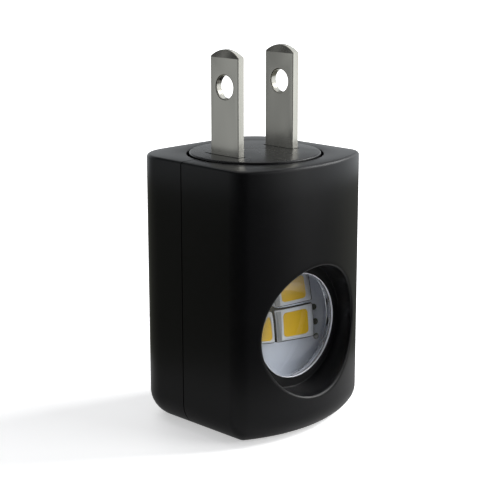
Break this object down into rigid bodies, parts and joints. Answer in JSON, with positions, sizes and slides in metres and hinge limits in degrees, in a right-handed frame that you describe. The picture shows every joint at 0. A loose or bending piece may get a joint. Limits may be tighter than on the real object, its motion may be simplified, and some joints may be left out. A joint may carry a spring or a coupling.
{
  "type": "plug in night light",
  "caption": "Night light with a rounded black housing, a clear lens over light-emitting diodes in a round well, and a turning two-blade plug disc on top",
  "frame": {"origin": "centre of the housing's bottom end face", "axes": "+Z along the plug blades, -Y out of the lens window, +X along the line through both blades"},
  "size_m": [0.0294, 0.0296, 0.0629],
  "materials": {
    "housing_black": "satin moulded",
    "disc_black": "satin moulded",
    "blade_nickel": "bright nickel plate",
    "insulator_black": "matte moulded",
    "screw_steel": "zinc plated",
    "contact_brass": "stamped strip",
    "wiper_bronze": "spring strip",
    "lens_clear": "polished clear",
    "barrel_white": "matte moulded",
    "board_white": "white solder mask",
    "board_green": "green solder mask",
    "film_case": "moulded case",
    "can_sleeve": "shrink sleeve",
    "chip_black": "moulded",
    "resistor_grey": "lacquered",
    "resistor_blue": "lacquered",
    "lead_black": "insulated wire",
    "lead_white": "insulated wire",
    "pin_tin": "tinned",
    "led_white": "moulded",
    "phosphor_yellow": "silicone fill"
  },
  "bodies": {
    "housing": {"front_shell": "housing_black", "rear_shell": "housing_black", "contact_deck": "insulator_black", "outer_wiper": "wiper_bronze", "centre_wiper": "wiper_bronze", "lens": "lens_clear", "lens_barrel": "barrel_white", "led_board": "board_white", "driver_board": "board_green", "film_capacitor": "film_case", "smoothing_capacitor": "can_sleeve", "bridge_rectifier": "chip_black", "driver_chip": "chip_black", "fusible_resistor": "resistor_grey", "bleed_resistor": "resistor_blue", "live_lead": "lead_black", "neutral_lead": "lead_white", "link_pins": "pin_tin", "led_package_1": "led_white", "led_phosphor_1": "phosphor_yellow", "led_package_2": "led_white", "led_phosphor_2": "phosphor_yellow", "led_package_3": "led_white", "led_phosphor_3": "phosphor_yellow", "led_package_4": "led_white", "led_phosphor_4": "phosphor_yellow"},
    "plug": {"plug_disc": "disc_black", "blade_left": "blade_nickel", "blade_right": "blade_nickel", "blade_clamp": "insulator_black", "clamp_screws": "screw_steel", "outer_contact": "contact_brass", "centre_contact": "contact_brass"}
  },
  "joints": [
    {"name": "plug_swivel", "type": "hinge", "parent": "housing", "child": "plug", "pos_m": [0, 0, 0.0434], "axis": [0, 0, 1], "continuous": true}
  ]
}
